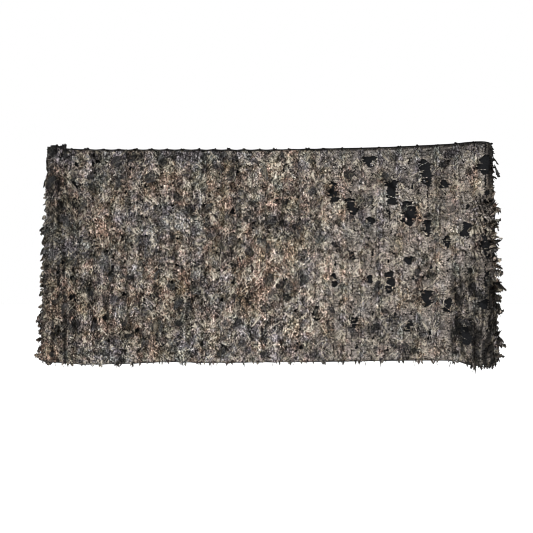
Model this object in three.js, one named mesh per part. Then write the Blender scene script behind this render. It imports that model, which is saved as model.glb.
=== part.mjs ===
// Leafy cover for a hunting blind, hung by its top edge and seen from its leaf side.
//
// One length of net carries vertical rows of leaf-cut cloth, each row sewn down along its middle. Narrow
// tape binds the top and bottom edges. The cover hangs in soft upright folds over most of its width, is
// pulled nearly flat towards the right, and both ends are turned back behind it.
//
// Millimetres. X runs to the right as seen from the leaf side, Y away from the viewer and Z up. The origin
// is the middle of the top edge, where the cover is held.
//
// Two coordinates place everything on the cloth: "row" counts leaf rows from the left cut end, so a row's
// seam is at a half number, and "down" is the share of the cut height below the top edge.
import * as THREE from "three";

const CUT_WIDTH = 3658; // 12 ft along the top edge, laid flat
const CUT_HEIGHT = 1422; // 56 in
const ROW_COUNT = 29;
const ROW_PITCH = CUT_WIDTH / ROW_COUNT;

const NET_THICKNESS = 2;
const LEAF_THICKNESS = 1.2;
const TAPE_HEIGHT = 9;
const GAP = 0.3; // between one sewn piece and the next

const LEAF_STEPS = 16; // steps down a row, each with a leaf point on one side; a multiple of LEVELS
const LOBE_REACH = 0.47; // of the way to the next seam
const NOTCH_DEPTH = 0.43; // a notch's reach as a share of a leaf point's
const END_REACH = 0.42; // of the row pitch, where no further row lies beside this one
const LOBE_LIFT = 13; // how far a leaf point stands off the row's seam
const LEAST_LIFT = 1.5;
const NEARBY_ROWS = 0.75; // the stretch of net that a leaf has to clear
const REACH_UNEVEN = 0.3; // share by which one leaf point differs from the next
const LIFT_UNEVEN = 0.45;
const DROOP = 9; // how far a leaf point hangs below its place on the seam
const DROOP_UNEVEN = 1.5;
const FOLD_LIFT = 40; // LOBE_LIFT for the row that lies on the right-hand turn
const FOLD_ROW = 27; // counted from 0
const KNOT_HALF_WIDTH = 9; // the row's narrow ends
const KNOT_RISE = 6; // a row's end above the top edge
const TAIL_DROP = 20; // a row's last leaf below the bottom edge, give or take as much again

// The cover's line in plan and the height of its two edges, from the left cut end to the right one.
const STATIONS = [
  { row: 0, topX: -1370, topY: 56, topZ: -14, hemX: -1412, hemY: 92, hemZ: -1418 },
  { row: 0.5, topX: -1430, topY: 50, topZ: 4, hemX: -1474, hemY: 86, hemZ: -1418 },
  { row: 0.8, topX: -1460, topY: 28, topZ: 18, hemX: -1507, hemY: 66, hemZ: -1416 },
  { row: 1, topX: -1468, topY: 4, topZ: 24, hemX: -1523, hemY: 42, hemZ: -1414 },
  { row: 1.2, topX: -1454, topY: -16, topZ: 26, hemX: -1518, hemY: 14, hemZ: -1414 },
  { row: 1.5, topX: -1420, topY: -24, topZ: 24, hemX: -1490, hemY: -14, hemZ: -1416 },
  { row: 2, topX: -1374, topY: 14, topZ: 10, hemX: -1430, hemY: 8, hemZ: -1422 },
  { row: 2.5, topX: -1326, topY: -8, topZ: 4, hemX: -1366, hemY: -8, hemZ: -1424 },
  { row: 3.5, topX: -1225, topY: 0, topZ: 1, hemX: -1250, hemY: -4, hemZ: -1434 },
  { row: 6, topX: -957, topY: 3, topZ: 0, hemX: -966, hemY: 5, hemZ: -1430 },
  { row: 8.5, topX: -692, topY: -2, topZ: 0, hemX: -692, hemY: -7, hemZ: -1418 },
  { row: 11, topX: -432, topY: 3, topZ: 0, hemX: -440, hemY: 4, hemZ: -1424 },
  { row: 15.25, topX: -3, topY: 0, topZ: 0, hemX: -6, hemY: 6, hemZ: -1420 },
  { row: 18.75, topX: 382, topY: 0, topZ: 7, hemX: 385, hemY: -3, hemZ: -1416 },
  { row: 21.5, topX: 726, topY: 2, topZ: 15, hemX: 728, hemY: -5, hemZ: -1410 },
  { row: 24, topX: 1040, topY: 0, topZ: 29, hemX: 1042, hemY: 4, hemZ: -1408 },
  { row: 25.5, topX: 1229, topY: -2, topZ: 40, hemX: 1231, hemY: -2, hemZ: -1412 },
  { row: 26, topX: 1291, topY: -4, topZ: 47, hemX: 1294, hemY: -6, hemZ: -1430 },
  { row: 26.5, topX: 1354, topY: -8, topZ: 52, hemX: 1357, hemY: -14, hemZ: -1442 },
  { row: 27, topX: 1416, topY: -12, topZ: 52, hemX: 1420, hemY: -16, hemZ: -1434 },
  { row: 27.3, topX: 1452, topY: -4, topZ: 46, hemX: 1458, hemY: -12, hemZ: -1418 },
  { row: 27.55, topX: 1468, topY: 20, topZ: 36, hemX: 1488, hemY: -2, hemZ: -1404 },
  { row: 27.8, topX: 1458, topY: 46, topZ: 26, hemX: 1512, hemY: 20, hemZ: -1406 },
  { row: 28.2, topX: 1416, topY: 58, topZ: 8, hemX: 1500, hemY: 66, hemZ: -1432 },
  { row: 28.6, topX: 1367, topY: 54, topZ: -10, hemX: 1458, hemY: 86, hemZ: -1444 },
  { row: 29, topX: 1318, topY: 58, topZ: -26, hemX: 1409, hemY: 90, hemZ: -1442 },
];

// Soft folds stand only between the two turned-back ends.
const FOLDS_START = 2.5;
const FOLDS_END = 26;
const FOLD_UNEVEN = 0.35; // share by which one fold differs from the next
const SEAM_WANDER = 6; // sideways drift of a seam on its way down
const WANDER_TURNS = { perRow: 1.9, perHeight: 2.6 }; // radians

// How finely each stretch of the width is divided, up to the row given.
const STRETCHES = [
  { toRow: 2.5, columnsPerRow: 8 },
  { toRow: 18.5, columnsPerRow: 3 },
  { toRow: 26.5, columnsPerRow: 2 },
  { toRow: ROW_COUNT, columnsPerRow: 8 },
];
const LEVELS = 4; // steps down the height
const BACK_FACE = 5; // a BoxGeometry's sides are in the order +X, -X, +Y, -Y, +Z, -Z

const NET_COLOUR = 0x1f201f;
const TAPE_COLOUR = 0x141413;
const LEAF_COLOURS = [0x6d665e, 0x776a5c, 0x5d5b58];

const lerp = THREE.MathUtils.lerp;
const clamp = THREE.MathUtils.clamp;
const smoothstep = THREE.MathUtils.smoothstep;

/** A repeatable number from -1 to 1 that differs from one seed to the next. */
function uneven(seed) {
  const wave = Math.sin(seed * 12.9898) * 43758.5453;
  return 2 * (wave - Math.floor(wave)) - 1;
}

/** One column of the station table at any row, as a smooth curve through the stations. */
function stationValue(column, row) {
  const last = STATIONS.length - 1;
  let k = 0;
  while (k < last - 1 && STATIONS[k + 1].row < row) k += 1;
  const slope = (i) => {
    const before = STATIONS[Math.max(i - 1, 0)];
    const after = STATIONS[Math.min(i + 1, last)];
    return (after[column] - before[column]) / (after.row - before.row);
  };
  const a = STATIONS[k];
  const b = STATIONS[k + 1];
  const span = b.row - a.row;
  const t = clamp((row - a.row) / span, 0, 1);
  const t2 = t * t;
  const t3 = t2 * t;
  return (
    (2 * t3 - 3 * t2 + 1) * a[column] +
    (t3 - 2 * t2 + t) * span * slope(k) +
    (3 * t2 - 2 * t3) * b[column] +
    (t3 - t2) * span * slope(k + 1)
  );
}

/** The cover's middle line in plan, before its folds. */
function guide(row, down) {
  const phase = WANDER_TURNS.perRow * row + WANDER_TURNS.perHeight * down;
  const drift = SEAM_WANDER * Math.sin(Math.PI * down) * Math.sin(phase);
  const fadeIn = smoothstep(row, FOLDS_START, FOLDS_START + 2);
  const fadeOut = 1 - smoothstep(row, FOLDS_END - 2, FOLDS_END);
  return new THREE.Vector2(
    lerp(stationValue("topX", row), stationValue("hemX", row), down) + drift * fadeIn * fadeOut,
    lerp(stationValue("topY", row), stationValue("hemY", row), down),
  );
}

/** Which way the cloth runs at a place, and the way its leaf side faces, both in plan. */
function guideFrame(row, down) {
  const step = 0.02;
  const before = guide(Math.max(row - step, 0), down);
  const after = guide(Math.min(row + step, ROW_COUNT), down);
  const along = after.sub(before);
  const perRow = along.length() / (2 * step);
  along.normalize();
  return { along, out: new THREE.Vector2(along.y, -along.x), perRow };
}

/** How far the cloth bulges towards its leaf side: folds take up the width that the hung line spares. */
function fold(row, down) {
  if (row <= FOLDS_START || row >= FOLDS_END) return 0;
  const hung = lerp(
    stationValue("topX", row + 0.5) - stationValue("topX", row - 0.5),
    stationValue("hemX", row + 0.5) - stationValue("hemX", row - 0.5),
    down,
  );
  const spare = Math.max(ROW_PITCH / hung - 1, 0);
  const height = (hung / Math.PI) * Math.sqrt(spare);
  const size = 1 + FOLD_UNEVEN * uneven(Math.round(row)) * Math.sin(2 + 3 * down + row);
  const ends = smoothstep(row, FOLDS_START, FOLDS_START + 1);
  return ends * size * height * Math.cos(2 * Math.PI * (row - 0.5));
}

/** A point of the cloth, moved by an offset towards its leaf side, at one of the levels. */
function levelPoint(row, level, offset) {
  const down = level / LEVELS;
  const { out } = guideFrame(row, down);
  const plan = guide(row, down).addScaledVector(out, fold(row, down) + offset);
  const z = lerp(stationValue("topZ", row), stationValue("hemZ", row), down);
  return new THREE.Vector3(plan.x, plan.y, z);
}

/** The same at any height: straight between two levels, so that what is sewn to the net follows it. */
function clothPoint(row, down, offset) {
  const level = clamp(Math.floor(down * LEVELS), 0, LEVELS - 1);
  const upper = levelPoint(row, level, offset);
  return upper.lerp(levelPoint(row, level + 1, offset), down * LEVELS - level);
}

/** Splits the squares of a box's back face along the same diagonals as those of its front face. */
function matchDiagonals(geometry) {
  const index = geometry.getIndex();
  const back = geometry.groups[BACK_FACE];
  for (let i = back.start; i < back.start + back.count; i += 6) {
    const [a, b, d, c] = [0, 1, 2, 4].map((k) => index.getX(i + k));
    [a, b, c, a, c, d].forEach((corner, k) => index.setX(i + k, corner));
  }
}

/** A closed sheet: a thin box with the given grid, each of whose corners is put in place by a function. */
function sheet(columns, levels, place) {
  const geometry = new THREE.BoxGeometry(1, 1, 1, columns, levels, 1);
  const position = geometry.getAttribute("position");
  for (let i = 0; i < position.count; i += 1) {
    const column = Math.round((position.getX(i) + 0.5) * columns);
    const level = Math.round((0.5 - position.getY(i)) * levels);
    const point = place(column, level, Math.sign(position.getZ(i)));
    position.setXYZ(i, point.x, point.y, point.z);
  }
  matchDiagonals(geometry);
  geometry.deleteAttribute("uv");
  geometry.computeVertexNormals();
  return geometry;
}

/** The rows at which the net and its bindings have a corner. */
function columnRows() {
  const rows = [0];
  for (const { toRow, columnsPerRow } of STRETCHES) {
    const start = rows[rows.length - 1];
    const steps = Math.round((toRow - start) * columnsPerRow);
    for (let i = 1; i <= steps; i += 1) rows.push(lerp(start, toRow, i / steps));
  }
  return rows;
}

const COLUMN_ROWS = columnRows();
const TAPE_SHARE = TAPE_HEIGHT / CUT_HEIGHT;
const GAP_SHARE = GAP / CUT_HEIGHT;

/** The net, between the two bindings. */
function netGeometry() {
  const top = TAPE_SHARE + GAP_SHARE;
  return sheet(COLUMN_ROWS.length - 1, LEVELS, (column, level, side) => {
    const down = level === 0 ? top : level === LEVELS ? 1 - top : level / LEVELS;
    return clothPoint(COLUMN_ROWS[column], down, (side * NET_THICKNESS) / 2);
  });
}

/** Tape along one edge of the net, from one share of the height to another. */
function tapeGeometry(upper, lower) {
  return sheet(COLUMN_ROWS.length - 1, 1, (column, level, side) =>
    clothPoint(COLUMN_ROWS[column], level === 0 ? upper : lower, (side * NET_THICKNESS) / 2),
  );
}

/** How far a row's leaves reach towards the row beside it. */
function reachTowards(index, step, down) {
  const { perRow } = guideFrame(index + 0.5, down);
  const share = index + step >= 0 && index + step < ROW_COUNT ? LOBE_REACH : END_REACH;
  return share * Math.min(perRow, ROW_PITCH);
}

/** The least lift that keeps a leaf clear of the net beside its seam. */
function clearLift(seamRow, towards, reach, down) {
  const seam = clothPoint(seamRow, down, 0);
  const { along, out } = guideFrame(seamRow, down);
  let lift = 0;
  for (const row of COLUMN_ROWS) {
    const away = (row - seamRow) * towards;
    if (away <= 0 || away > NEARBY_ROWS) continue;
    const net = clothPoint(row, down, 0).sub(seam);
    const run = towards * (net.x * along.x + net.y * along.y);
    const rise = net.x * out.x + net.y * out.y;
    if (run > 0) lift = Math.max(lift, (rise / run) * reach);
  }
  return lift + LEAST_LIFT;
}

/** A leaf row: its seam lies on the net, and leaf points stand off it in turn to left and right. */
function leafRowGeometry(index) {
  const seamRow = index + 0.5;
  const half = LEAF_THICKNESS / 2;
  const seat = NET_THICKNESS / 2 + GAP + half;
  const liftSize = index === FOLD_ROW ? FOLD_LIFT : LOBE_LIFT;
  const tail = (TAIL_DROP * (1 + uneven(index + 0.3))) / CUT_HEIGHT;
  return sheet(2, LEAF_STEPS, (column, level, side) => {
    const atTop = level === 0;
    const atBottom = level === LEAF_STEPS;
    const down = atTop ? -KNOT_RISE / CUT_HEIGHT : atBottom ? 1 + tail : level / LEAF_STEPS;
    const point = clothPoint(seamRow, down, seat + side * half);
    if (column === 1) return point;
    const towards = column - 1;
    const isPoint = !atTop && !atBottom && (level + index) % 2 === (towards > 0 ? 0 : 1);
    const full = reachTowards(index, towards, down);
    const shortening = REACH_UNEVEN * (1 - uneven(13 * index + 7 * level + towards)) * 0.5;
    const notched = isPoint ? full * (1 - shortening) : full * NOTCH_DEPTH;
    const reach = atTop || atBottom ? KNOT_HALF_WIDTH : notched;
    const variety = 1 + LIFT_UNEVEN * uneven(31 * index + level + 0.5 * towards);
    const wanted = isPoint ? liftSize * variety : 0;
    const lift = Math.max(wanted, clearLift(seamRow, towards, reach, down));
    const droop = isPoint ? DROOP * (1 - DROOP_UNEVEN * uneven(17 * index + level)) : 0;
    const { along, out } = guideFrame(seamRow, down);
    point.x += towards * reach * along.x + lift * out.x;
    point.y += towards * reach * along.y + lift * out.y;
    point.z -= droop;
    return point;
  });
}

/** A cloth-like material in one colour. */
function cloth(colour) {
  return new THREE.MeshStandardMaterial({ color: colour, roughness: 0.9, metalness: 0 });
}

/** A named piece of the cover. */
function piece(name, geometry, colour) {
  const mesh = new THREE.Mesh(geometry, cloth(colour));
  mesh.name = name;
  return mesh;
}

const cover = new THREE.Group();
cover.name = "leafy_blind_cover";
cover.add(piece("net", netGeometry(), NET_COLOUR));
cover.add(piece("top_binding", tapeGeometry(0, TAPE_SHARE), TAPE_COLOUR));
cover.add(piece("bottom_binding", tapeGeometry(1 - TAPE_SHARE, 1), TAPE_COLOUR));
for (let index = 0; index < ROW_COUNT; index += 1) {
  const name = `leaf_row_${String(index + 1).padStart(2, "0")}`;
  cover.add(piece(name, leafRowGeometry(index), LEAF_COLOURS[index % LEAF_COLOURS.length]));
}

export default cover;
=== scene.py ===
"""Leafy cover for a hunting blind, hung by its top edge.

The cover is a dark net with upright rows of leaf-cut cloth sewn to it, bound with tape along its top and
bottom edges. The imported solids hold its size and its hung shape; this script gives them their surfaces.

Metres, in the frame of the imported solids: X runs to the right as seen from the leaf side, Y away from the
viewer and Z up, from the middle of the top edge. On the cloth itself "row" counts leaf rows from the left
cut end, so that a seam lies at a half number, and "down" is the share of the cut height below the top edge.
"""

from __future__ import annotations

import logging
import math
from collections.abc import Callable, Iterable, Iterator
from dataclasses import dataclass, field
from enum import Enum
from functools import partial
from typing import Any, NamedTuple

import bpy
import numpy as np
from bpy.types import Material, Node, NodeSocket, NodeTree, Object
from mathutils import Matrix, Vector
from mathutils.geometry import delaunay_2d_cdt

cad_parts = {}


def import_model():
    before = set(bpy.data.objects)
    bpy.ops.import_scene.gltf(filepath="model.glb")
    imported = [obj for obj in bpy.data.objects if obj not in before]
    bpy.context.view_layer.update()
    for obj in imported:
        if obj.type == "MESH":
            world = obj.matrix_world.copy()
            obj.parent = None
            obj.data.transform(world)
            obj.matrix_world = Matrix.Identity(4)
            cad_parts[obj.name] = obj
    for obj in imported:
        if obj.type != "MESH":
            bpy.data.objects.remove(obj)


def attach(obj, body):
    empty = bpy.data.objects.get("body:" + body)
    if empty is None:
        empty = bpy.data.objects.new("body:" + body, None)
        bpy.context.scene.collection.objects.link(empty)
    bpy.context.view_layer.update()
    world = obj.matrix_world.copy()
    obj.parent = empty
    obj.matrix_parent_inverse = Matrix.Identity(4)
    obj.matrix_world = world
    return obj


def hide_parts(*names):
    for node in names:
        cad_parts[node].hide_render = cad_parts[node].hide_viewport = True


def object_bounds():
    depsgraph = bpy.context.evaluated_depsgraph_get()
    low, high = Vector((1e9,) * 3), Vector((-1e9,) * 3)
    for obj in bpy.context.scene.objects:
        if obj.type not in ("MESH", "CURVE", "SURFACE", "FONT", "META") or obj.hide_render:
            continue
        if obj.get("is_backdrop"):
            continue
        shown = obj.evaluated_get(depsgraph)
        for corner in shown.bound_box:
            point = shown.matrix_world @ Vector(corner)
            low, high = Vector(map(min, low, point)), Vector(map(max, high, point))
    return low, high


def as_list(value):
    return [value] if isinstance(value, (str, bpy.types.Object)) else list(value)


LOG = logging.getLogger("leafy_cover")
MM = 0.001
PIXEL_FILTER = 1.0
SHADER = "Principled BSDF"
# What a point of a mesh tells the materials of the cloth there
SHADES = ("tone", "seam", "pull", "warmth")
Array = np.ndarray
# A node stands for the first of its outputs that is in use
Source = Node | NodeSocket


def linear(colour: str) -> tuple[float, float, float, float]:
    """Turns an sRGB colour into linear light.

    Args:
        colour: six hex digits after a hash sign.

    Returns:
        Red, green, blue and an alpha of one.
    """
    channels = [int(colour[i : i + 2], 16) / 255 for i in (1, 3, 5)]
    lit = [c / 12.92 if c <= 0.04045 else ((c + 0.055) / 1.055) ** 2.4 for c in channels]
    return (lit[0], lit[1], lit[2], 1.0)


def set_inputs(node: Node, inputs: dict[str | int, Any]) -> None:
    """Sets a node's inputs.

    Args:
        node: the node.
        inputs: a value or a source for each input, by name or number.
    """
    for key, value in inputs.items():
        if isinstance(value, Node):
            value = next(output for output in value.outputs if output.enabled)
        if isinstance(value, NodeSocket):
            node.id_data.links.new(value, node.inputs[key])
        else:
            node.inputs[key].default_value = value


def add_node(
    tree: NodeTree,
    kind: str,
    inputs: dict[str | int, Any] | None = None,
    stops: Iterable[tuple[float, str]] = (),
    **settings: Any,
) -> Node:
    """Adds a shader node with its settings and links.

    Args:
        tree: the node tree.
        kind: the node's type, without the words that all shader nodes start with.
        inputs: a value or a source for each input, by name or number.
        stops: places and sRGB colours, where the node is a colour ramp.
        **settings: the node's own properties.

    Returns:
        The node.
    """
    node = tree.nodes.new(f"ShaderNode{kind}")
    for name, value in settings.items():
        setattr(node, name, value)
    set_inputs(node, inputs or {})
    for number, (place, colour) in enumerate(stops):
        elements = node.color_ramp.elements
        element = elements[number] if number < len(elements) else elements.new(1.0)
        element.position = place
        element.color = linear(colour)
    return node


def new_material(name: str) -> tuple[Material, NodeTree]:
    """Makes a material that holds a principled shader, and gives its node tree with it."""
    material = bpy.data.materials.new(name)
    material.use_nodes = True
    return material, material.node_tree


class SoftNoise:
    """Smooth, repeatable noise on a seeded lattice."""

    SIZE = 256

    def __init__(self, seed: int) -> None:
        """Fills the lattice from a seed."""
        self.lattice = np.random.default_rng(seed).uniform(-1.0, 1.0, (self.SIZE, self.SIZE))

    def at(self, x: Array, y: Array) -> Array:
        """Reads the noise.

        Args:
            x: places along the first direction, a lattice step being one.
            y: places along the second direction.

        Returns:
            Values from -1 to 1.
        """
        x, y = np.broadcast_arrays(np.asarray(x, float), np.asarray(y, float))
        left, low = np.floor(x).astype(int), np.floor(y).astype(int)
        u, v = x - left, y - low
        u, v = u * u * (3 - 2 * u), v * v * (3 - 2 * v)
        i0, i1 = left % self.SIZE, (left + 1) % self.SIZE
        j0, j1 = low % self.SIZE, (low + 1) % self.SIZE
        near = self.lattice[i0, j0] * (1 - u) + self.lattice[i1, j0] * u
        far = self.lattice[i0, j1] * (1 - u) + self.lattice[i1, j1] * u
        return near * (1 - v) + far * v


def smoothstep(value: Array, low: float, high: float) -> Array:
    """Rises smoothly from 0 at low to 1 at high."""
    t = np.clip((value - low) / (high - low), 0.0, 1.0)
    return t * t * (3 - 2 * t)


def uneven(seed: Array) -> Array:
    """A repeatable number from -1 to 1 that differs from one seed to the next."""
    wave = np.sin(seed * 12.9898) * 43758.5453
    return 2 * (wave - np.floor(wave)) - 1


def bell(value: Array, width: float) -> Array:
    """1 where the value is 0, and nearly nothing from two widths away."""
    return np.exp(-((value / width) ** 2))


class Station(NamedTuple):
    """Where the cover's two edges pass, in millimetres, at a row."""

    row: float
    top: tuple[float, float, float]
    hem: tuple[float, float, float]


class Crease(NamedTuple):
    """A crease in the gathered end, darkened with painted shade: its row at the top, slope, width in rows and
    strength.
    """

    row: float
    slope: float
    width: float
    strength: float


STATIONS = (
    Station(0, (-1370, 56, -14), (-1412, 92, -1418)),
    Station(0.5, (-1430, 50, 4), (-1474, 86, -1418)),
    Station(0.8, (-1460, 28, 18), (-1507, 66, -1416)),
    Station(1, (-1468, 4, 24), (-1523, 42, -1414)),
    Station(1.2, (-1454, -16, 26), (-1518, 14, -1414)),
    Station(1.5, (-1420, -24, 24), (-1490, -14, -1416)),
    Station(2, (-1374, 14, 10), (-1430, 8, -1422)),
    Station(2.5, (-1326, -8, 4), (-1366, -8, -1424)),
    Station(3.5, (-1225, 0, 1), (-1250, -4, -1434)),
    Station(6, (-957, 3, 0), (-966, 5, -1430)),
    Station(8.5, (-692, -2, 0), (-692, -7, -1418)),
    Station(11, (-432, 3, 0), (-440, 4, -1424)),
    Station(15.25, (-3, 0, 0), (-6, 6, -1420)),
    Station(18.75, (382, 0, 7), (385, -3, -1416)),
    Station(21.5, (726, 2, 15), (728, -5, -1410)),
    Station(24, (1040, 0, 29), (1042, 4, -1408)),
    Station(25.5, (1229, -2, 40), (1231, -2, -1412)),
    Station(26, (1291, -4, 47), (1294, -6, -1430)),
    Station(26.5, (1354, -8, 52), (1357, -14, -1442)),
    Station(27, (1416, -12, 52), (1420, -16, -1434)),
    Station(27.3, (1452, -4, 46), (1458, -12, -1418)),
    Station(27.55, (1468, 20, 36), (1488, -2, -1404)),
    Station(27.8, (1458, 46, 26), (1512, 20, -1406)),
    Station(28.2, (1416, 58, 8), (1500, 66, -1432)),
    Station(28.6, (1367, 54, -10), (1458, 86, -1444)),
    Station(29, (1318, 58, -26), (1409, 90, -1442)),
)


# Painted shade down the creases of the gathered left end
PAINTED_CREASE_SHADES = (
    Crease(1.22, 0.6, 0.12, 0.9),
    Crease(1.56, 0.6, 0.19, 1.0),
    Crease(1.98, 0.5, 0.14, 1.0),
    Crease(1.75, 3.0, 0.12, 0.9),
    Crease(2.5, 0.6, 0.11, 0.8),
    Crease(2.3, 3.4, 0.11, 0.8),
)


@dataclass
class Drape:
    """How the cover hangs: its edges, its soft upright folds and the pleats at its pulled-up corner."""

    cut_width: float = 3.658
    cut_height: float = 1.422
    rows: int = 29
    folds: tuple[float, float] = (2.5, 26.0)
    fold_uneven: float = 0.35
    seam_wander: float = 6 * MM
    pleat_corner: float = 27.4
    pleat_height: float = 5 * MM
    pleat_pitch: float = 23 * MM
    pleat_slant: float = 0.36
    turns: tuple[float, float] = (1.0, 27.45)
    taut_rows: tuple[float, float] = (16.0, 20.5)
    fine_from: int = 24
    columns_per_row: int = 10

    def __post_init__(self) -> None:
        """Lays the stations out as columns, with the slope of each at every station."""
        self.pitch = self.cut_width / self.rows
        self.at_rows = np.array([s.row for s in STATIONS], float)
        self.columns = np.array([[*s.top, *s.hem] for s in STATIONS], float).T * MM
        index = np.arange(len(STATIONS))
        before, after = np.maximum(index - 1, 0), np.minimum(index + 1, index[-1])
        gaps = self.at_rows[after] - self.at_rows[before]
        self.slopes = (self.columns[:, after] - self.columns[:, before]) / gaps

    def station_values(self, row: Array) -> Array:
        """Reads both edges at any row, as a smooth curve through the stations.

        Args:
            row: places along the cover.

        Returns:
            The top edge's X, Y and Z and the hem's, on the first axis.
        """
        k = np.clip(np.searchsorted(self.at_rows, row, side="left") - 1, 0, len(STATIONS) - 2)
        span = self.at_rows[k + 1] - self.at_rows[k]
        t = np.clip((row - self.at_rows[k]) / span, 0.0, 1.0)
        t2, t3 = t * t, t * t * t
        return (
            (2 * t3 - 3 * t2 + 1) * self.columns[:, k]
            + (t3 - 2 * t2 + t) * span * self.slopes[:, k]
            + (3 * t2 - 2 * t3) * self.columns[:, k + 1]
            + (t3 - t2) * span * self.slopes[:, k + 1]
        )

    def guide(self, row: Array, down: Array) -> Array:
        """The cover's middle surface, before its folds.

        Args:
            row: places along the cover.
            down: shares of the height.

        Returns:
            X, Y and Z on the first axis.
        """
        edges = self.station_values(row)
        line = edges[:3] * (1 - down) + edges[3:] * down
        drift = self.seam_wander * np.sin(np.pi * down) * np.sin(1.9 * row + 2.6 * down)
        first, last = self.folds
        line[0] += drift * smoothstep(row, first, first + 2) * (1 - smoothstep(row, last - 2, last))
        return line

    def fold(self, row: Array, down: Array) -> Array:
        """How far the cloth bulges towards its leaf side, taking up the width that the hung line spares."""
        first, last = self.folds
        hung = self.station_values(row + 0.5) - self.station_values(row - 0.5)
        width = hung[0] * (1 - down) + hung[3] * down
        spare = np.maximum(self.pitch / np.maximum(width, 0.5 * self.pitch) - 1, 0)
        height = width / np.pi * np.sqrt(spare)
        whole = np.floor(row)
        varied = uneven(whole) + (uneven(whole + 1) - uneven(whole)) * smoothstep(row - whole, 0.3, 0.7)
        size = 1 + self.fold_uneven * varied * np.sin(2 + 3 * down + row)
        shown = smoothstep(row, first, first + 1) * (1 - smoothstep(row, last - 0.5, last))
        return shown * size * height * np.cos(2 * np.pi * (row - 0.5))

    def pleats(self, row: Array, down: Array) -> Array:
        """Narrow slanting pleats below the pulled-up right-hand corner, from -1 to 1."""
        across = (row - self.pleat_corner) * self.pitch
        below = down * self.cut_height
        shown = smoothstep(across, -0.15, -0.08) * (1 - smoothstep(across, 0.0, 0.03))
        shown = shown * smoothstep(below, 0.32, 0.40) * (1 - smoothstep(below, 0.68, 0.85))
        slant = across - self.pleat_slant * below
        return shown * np.sin(2 * np.pi * slant / self.pleat_pitch + 1.2 * np.sin(9.0 * below))

    def surface(self, row: Array, down: Array) -> Array:
        """The hung cloth.

        Args:
            row: places along the cover.
            down: shares of the height.

        Returns:
            Points, with X, Y and Z on the last axis.
        """
        row, down = np.broadcast_arrays(np.asarray(row, float), np.asarray(down, float))
        line = self.guide(row, down)
        step = 0.02
        ahead = self.guide(np.minimum(row + step, self.rows), down)
        along = (ahead - self.guide(np.maximum(row - step, 0), down))[:2]
        along /= np.linalg.norm(along, axis=0)
        bulge = self.fold(row, down) + self.pleat_height * self.pleats(row, down)
        return np.stack([line[0] + along[1] * bulge, line[1] - along[0] * bulge, line[2]], axis=-1)

    def frame(self, row: Array, down: Array) -> tuple[Array, Array, Array]:
        """The cloth's point, its direction along the width and its outward direction.

        Args:
            row: places along the cover.
            down: shares of the height.

        Returns:
            Points, unit vectors along the width and unit vectors out of the leaf side.
        """
        side, drop = 0.02, 0.003
        right = self.surface(np.minimum(row + side, self.rows), down)
        left = self.surface(np.maximum(row - side, 0), down)
        low, high = self.surface(row, down + drop), self.surface(row, down - drop)
        along = (right - left) / np.linalg.norm(right - left, axis=-1, keepdims=True)
        out = np.cross(low - high, along)
        out /= np.linalg.norm(out, axis=-1, keepdims=True)
        return self.surface(row, down), along, out

    def spaced_rows(self) -> Array:
        """Spaces a grid's columns along the cover, three times as close where it is pleated."""
        first, count = self.fine_from, self.columns_per_row
        smooth = np.linspace(0, first, first * count, endpoint=False)
        fine = np.linspace(first, self.rows, (self.rows - first) * count * 3 + 1)
        return np.concatenate([smooth, fine])

    def tautness(self, row: float) -> float:
        """How nearly flat the cover is pulled at a row, from 0 where it is gathered to 1."""
        return float(smoothstep(np.array(row), *self.taut_rows))


@dataclass
class MeshPile:
    """Collects pieces of mesh that become one object."""

    points: list[Array] = field(default_factory=list)
    faces: list[Array] = field(default_factory=list)
    prints: list[Array] = field(default_factory=list)
    charts: list[Array] = field(default_factory=list)
    shades: list[Array] = field(default_factory=list)
    count: int = 0

    def add(self, points: Array, faces: Array, prints: Array, charts: Array, *shades: Array | float) -> None:
        """Adds one piece.

        Args:
            points: places in the frame, one row each.
            faces: corner numbers, one face a row, all with as many corners.
            prints: each point's place in the printed cloth, in metres.
            charts: each point's place on the flat chart that a bake uses, from 0 to 1.
            *shades: how much lighter the cloth is, from random tone and from painted shade and light, how
                     near its seam, how stretched and how much browner.
        """
        self.points.append(points)
        self.faces.append(faces + self.count)
        self.prints.append(prints)
        self.charts.append(charts)
        self.shades.append(np.stack([np.broadcast_to(shade, len(points)) for shade in shades]))
        self.count += len(points)

    def build(self, name: str, material: Material) -> Object:
        """Makes the object.

        Args:
            name: the object's name.
            material: its material.

        Returns:
            The object, linked into the scene.
        """
        mesh = bpy.data.meshes.new(name)
        corners = np.concatenate([f.ravel() for f in self.faces])
        sizes = np.concatenate([np.full(len(f), f.shape[1]) for f in self.faces])
        mesh.vertices.add(self.count)
        mesh.vertices.foreach_set("co", np.concatenate(self.points).astype(np.float32).ravel())
        mesh.loops.add(len(corners))
        mesh.loops.foreach_set("vertex_index", corners.astype(np.int32))
        mesh.polygons.add(len(sizes))
        mesh.polygons.foreach_set("loop_start", (np.cumsum(sizes) - sizes).astype(np.int32))
        mesh.polygons.foreach_set("use_smooth", np.ones(len(sizes), bool))
        for layer, values in (("OFBake", self.charts), ("cloth", self.prints)):
            places = np.concatenate(values).astype(np.float32)[corners]
            mesh.uv_layers.new(name=layer).data.foreach_set("uv", places.ravel())
        for layer, values in zip(SHADES, np.concatenate(self.shades, axis=1)):
            mesh.attributes.new(layer, "FLOAT", "POINT").data.foreach_set("value", values.astype(np.float32))
        mesh.update(calc_edges=True)
        mesh.validate()
        mesh.materials.append(material)
        piece = bpy.data.objects.new(name, mesh)
        bpy.context.collection.objects.link(piece)
        return piece


def grid_faces(rows: int, columns: int) -> Array:
    """Quads of a grid of points that is stored row by row.

    Args:
        rows: how many rows of points.
        columns: how many points in a row.

    Returns:
        Four corner numbers for each quad.
    """
    corner = (np.arange(rows - 1)[:, None] * columns + np.arange(columns - 1)).ravel()
    return np.stack([corner, corner + columns, corner + columns + 1, corner + 1], axis=1)


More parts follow.
